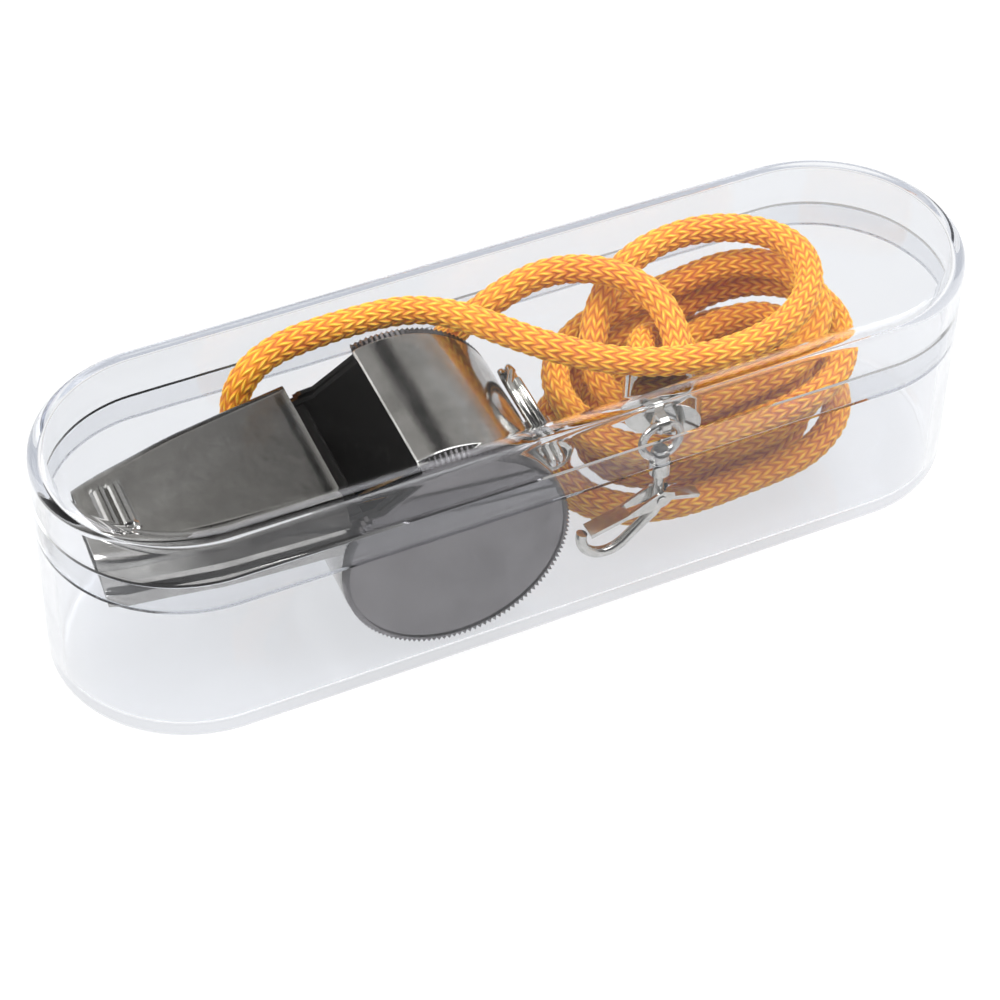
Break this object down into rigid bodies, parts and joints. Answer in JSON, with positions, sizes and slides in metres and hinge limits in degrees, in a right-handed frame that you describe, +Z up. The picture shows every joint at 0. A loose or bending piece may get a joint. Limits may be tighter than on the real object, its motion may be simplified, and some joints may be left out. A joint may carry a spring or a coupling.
{
  "type": "sports whistle",
  "caption": "Metal pea whistle with a split ring, a snap hook and a knitted neck cord, packed in a clear round-ended two-part case.",
  "frame": {"origin": "centre of the case's underside, on the surface that it rests on", "axes": "+X along the case, away from the mouthpiece, to the picture's right; +Y across the case, away from the viewer; +Z up through the lid"},
  "size_m": [0.1032, 0.03, 0.0276],
  "materials": {
    "nickel": "polished nickel plate",
    "steel": "polished",
    "cork": "matt cork",
    "clear_case": "clear polystyrene",
    "cord": "knitted"
  },
  "bodies": {
    "whistle": {"top_shell": "nickel", "lower_shell": "nickel", "windway_floor": "nickel", "barrel_strip": "nickel", "side_plate_front": "nickel", "side_plate_rear": "nickel", "side_cap_front": "nickel", "side_cap_rear": "nickel", "ring_lug": "nickel", "cord_ferrule": "steel", "swivel_eye": "steel", "swivel_stud": "steel", "cord_run": "cord", "cord_hank": "cord"},
    "case_base": {"case_base": "clear_case"},
    "case_lid": {"case_lid": "clear_case"},
    "pea": {"cork_pea": "cork"},
    "ring": {"split_ring": "steel"},
    "hook": {"hook_body": "steel", "gate_rivet": "steel"},
    "gate": {"spring_gate": "steel"}
  },
  "joints": [
    {"name": "base_off", "type": "slide", "parent": "whistle", "child": "case_base", "axis": [0, 0, -1], "range_m": [0, 0.03]},
    {"name": "lid_off", "type": "slide", "parent": "whistle", "child": "case_lid", "axis": [0, 0, 1], "range_m": [0, 0.03]},
    {"name": "pea_orbit", "type": "hinge", "parent": "whistle", "child": "pea", "pos_m": [-0.0121, -0.00288, 0.01375], "axis": [0.0523, 0.9986, 0], "continuous": true},
    {"name": "ring_swing", "type": "hinge", "parent": "whistle", "child": "ring", "pos_m": [0.00212, -0.00363, 0.01462], "axis": [0.0523, 0.9986, 0], "range_deg": [0, 6]},
    {"name": "hook_swivel", "type": "hinge", "parent": "whistle", "child": "hook", "pos_m": [0.0104, -0.0124, 0.012], "axis": [0, 0, -1], "range_deg": [0, 6]},
    {"name": "hook_gate", "type": "hinge", "parent": "hook", "child": "gate", "pos_m": [0.0104, -0.0124, 0.012], "axis": [0, -1, 0], "range_deg": [0, 16], "stiffness_Nm_per_rad": 0.004, "springref_deg": -5.73}
  ]
}
